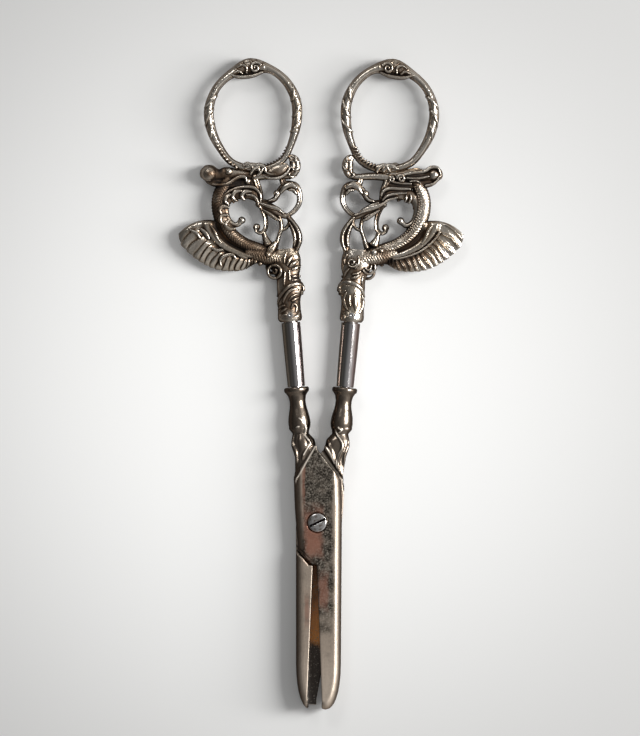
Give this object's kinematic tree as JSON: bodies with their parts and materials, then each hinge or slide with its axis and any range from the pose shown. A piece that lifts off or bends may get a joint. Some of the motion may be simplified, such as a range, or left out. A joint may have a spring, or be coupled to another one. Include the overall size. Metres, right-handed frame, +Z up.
{
  "type": "grape scissors",
  "caption": "Table scissors for grapes: cast openwork scroll handles with finger bows on round shafts, stepped blunt-nosed blades lapped on a slotted screw.",
  "frame": {"origin": "on the axis of the pivot screw, in the plane of the lower blade's flat underside, on which the scissors lie", "axes": "+Y from the screw towards the finger bows along the middle of the nearly closed scissors, +Z up along the screw's axis towards its slotted head"},
  "size_m": [0.0776, 0.1739, 0.0077],
  "materials": {
    "cast_plate": "silver plate on a casting, worn bright on the high spots, brown tarnish in the hollows",
    "polished_plate": "silver plate, smooth and bright with a warm tarnish",
    "blade_plate": "worn plate on steel, pitted grey at the joint and smooth at the tips",
    "bare_steel": "bare steel, bright and lightly scratched"
  },
  "bodies": {
    "right_arm": {"lower_blade": "blade_plate", "pivot_screw": "bare_steel", "right_shaft": "polished_plate", "right_shaft_pin": "bare_steel", "right_scroll_handle": "cast_plate", "right_finger_bow": "cast_plate"},
    "left_arm": {"upper_blade": "blade_plate", "left_shaft": "polished_plate", "left_shaft_pin": "bare_steel", "left_scroll_handle": "cast_plate", "left_finger_bow": "cast_plate"}
  },
  "joints": [
    {"name": "pivot", "type": "hinge", "parent": "right_arm", "child": "left_arm", "pos_m": [0, 0, 0], "axis": [0, 0, 1], "range_deg": [-4.3, 70]}
  ]
}
